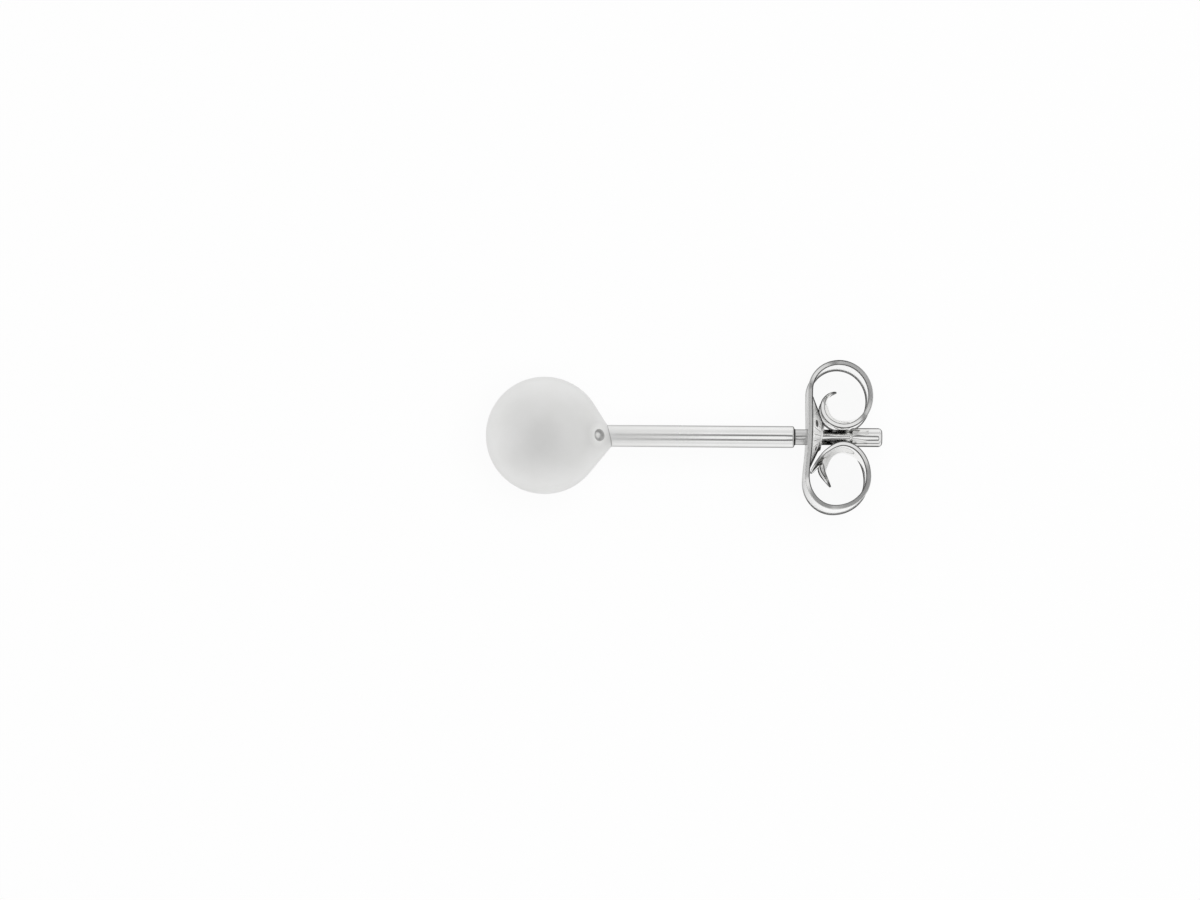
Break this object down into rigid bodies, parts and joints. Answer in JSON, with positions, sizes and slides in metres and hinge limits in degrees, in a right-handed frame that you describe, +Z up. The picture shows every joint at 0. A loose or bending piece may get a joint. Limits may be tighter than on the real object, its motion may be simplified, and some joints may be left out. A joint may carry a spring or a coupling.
{
  "type": "ball stud earring",
  "caption": "Stud earring lying on its side: a satin silver ball with a tapered back on a straight notched post, and a polished butterfly clutch that slides on the post.",
  "frame": {"origin": "on the surface that the earring lies on, below the middle of its length, with the post's centre line at Y = 0", "axes": "+X along the post, from the ball to the post's free end; +Y across the clutch, towards its smaller scroll; +Z up from the surface"},
  "size_m": [0.0136, 0.0051, 0.004],
  "materials": {
    "satin_silver": "sterling silver with a fine satin finish on the ball and a smooth post",
    "polished_silver": "bright polished sterling silver strip"
  },
  "bodies": {
    "stud": {"ball_post": "satin_silver"},
    "clutch": {"butterfly_clutch": "polished_silver"}
  },
  "joints": [
    {"name": "clutch_slide", "type": "slide", "parent": "stud", "child": "clutch", "axis": [0.9999, 0, -0.0111], "range_m": [-0.0064, 0.0032]}
  ]
}
